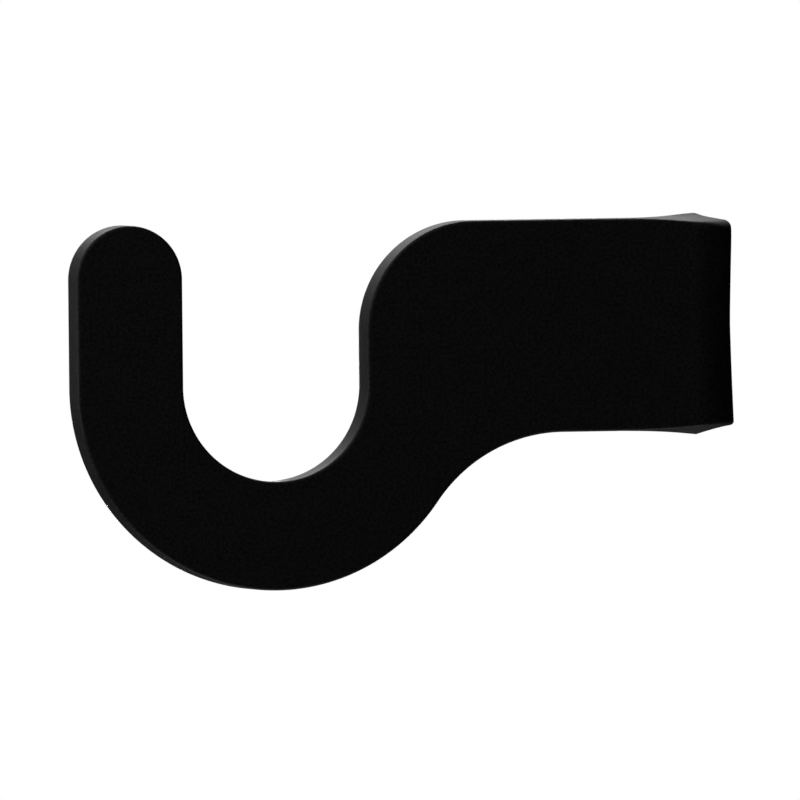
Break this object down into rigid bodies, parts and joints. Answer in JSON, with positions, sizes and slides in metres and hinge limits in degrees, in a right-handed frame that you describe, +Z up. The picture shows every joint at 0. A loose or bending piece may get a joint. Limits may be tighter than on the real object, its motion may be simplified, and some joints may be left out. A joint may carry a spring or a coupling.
{
  "type": "headphone hook",
  "caption": "Thick black steel plate cut to an upturned J hook, with one end bent back into a screw-on mounting flange, for hanging headphones beside a desk.",
  "frame": {"origin": "on the flange's flat outer face, midway between the two screws", "axes": "+X out of the mounting face into whatever the hook is fastened to, -Y out of the hook plate's front face, +Z up"},
  "size_m": [0.1089, 0.028, 0.0569],
  "materials": {
    "powder_coat": "fine-textured satin black powder coat on steel plate",
    "screw_steel": "black oxide, slightly oily, satin"
  },
  "bodies": {
    "root": {"hook_plate": "powder_coat", "mounting_screw_upper": "screw_steel", "mounting_screw_lower": "screw_steel"}
  },
  "joints": []
}
